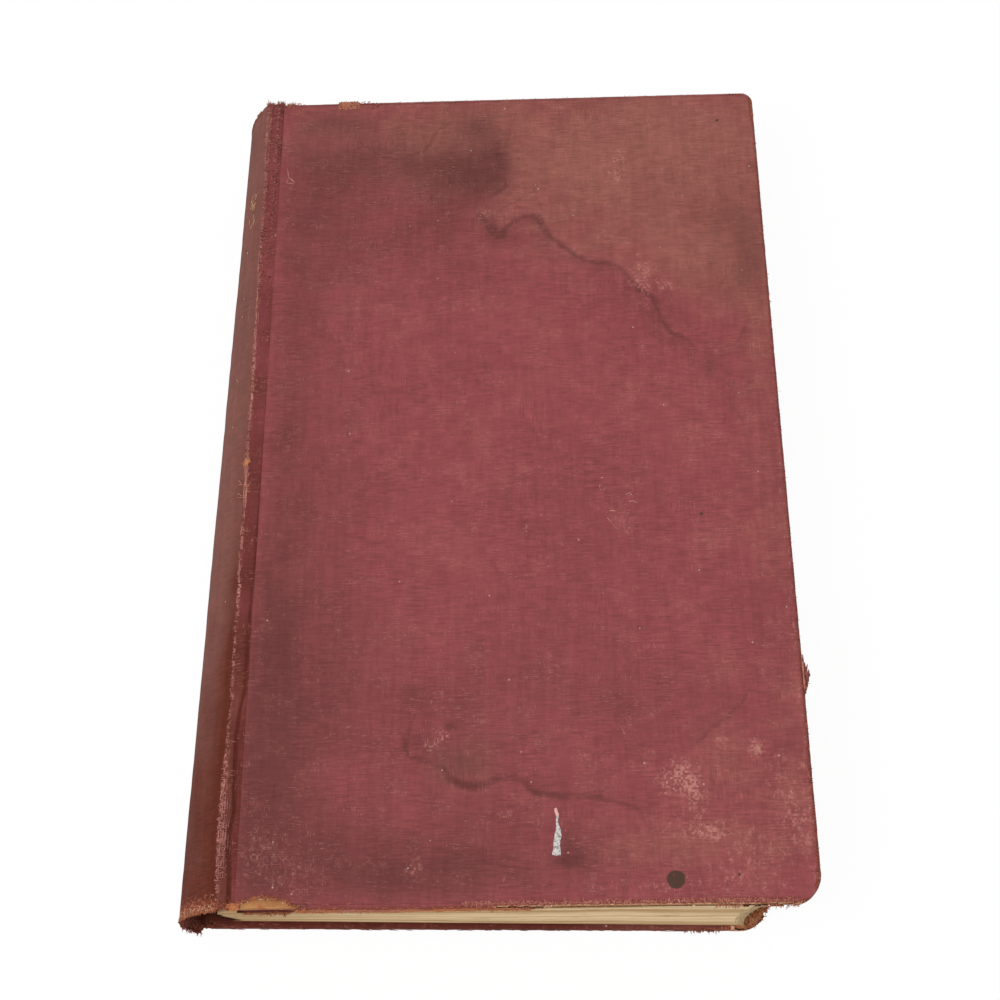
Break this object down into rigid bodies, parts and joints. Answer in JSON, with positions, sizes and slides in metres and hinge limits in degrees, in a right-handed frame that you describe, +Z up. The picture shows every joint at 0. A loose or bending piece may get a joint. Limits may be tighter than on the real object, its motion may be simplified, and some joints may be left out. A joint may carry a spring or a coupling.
{
  "type": "hardback book",
  "caption": "Worn hardback book bound in plain woven cloth, lying shut on its back cover, with both covers hinged at the shoulders of a rounded, hollow spine.",
  "frame": {"origin": "middle of the bottom of the shut book's box, on the surface it lies on", "axes": "+X from the spine to the fore edge, +Y from the tail to the head, +Z up through the front cover"},
  "size_m": [0.1378, 0.2118, 0.025],
  "materials": {
    "cover_cloth": "matt woven cloth, faded and stained",
    "spine_cloth": "matt woven cloth, browned by light",
    "board": "matt pressed board",
    "inlay_card": "matt card",
    "leaves": "matt aged paper",
    "endpaper": "matt aged paper",
    "lining_paper": "matt brown paper",
    "mull": "open-weave cotton"
  },
  "bodies": {
    "book_block": {"text_block": "leaves", "mull": "mull", "spine_lining": "lining_paper", "front_flyleaf": "endpaper", "back_flyleaf": "endpaper", "spine_inlay": "inlay_card", "spine_cloth": "spine_cloth"},
    "front_cover": {"front_board": "board", "front_cloth": "cover_cloth", "front_pastedown": "endpaper"},
    "back_cover": {"back_board": "board", "back_cloth": "cover_cloth", "back_pastedown": "endpaper"}
  },
  "joints": [
    {"name": "front_cover_hinge", "type": "hinge", "parent": "book_block", "child": "front_cover", "pos_m": [-0.05804, 0, 0.0248], "axis": [0, -1, 0], "range_deg": [0, 180]},
    {"name": "back_cover_hinge", "type": "hinge", "parent": "book_block", "child": "back_cover", "pos_m": [-0.06674, -0.10407, 0.0018], "axis": [0.0157, 0.9999, 0], "range_deg": [0, 180]}
  ]
}
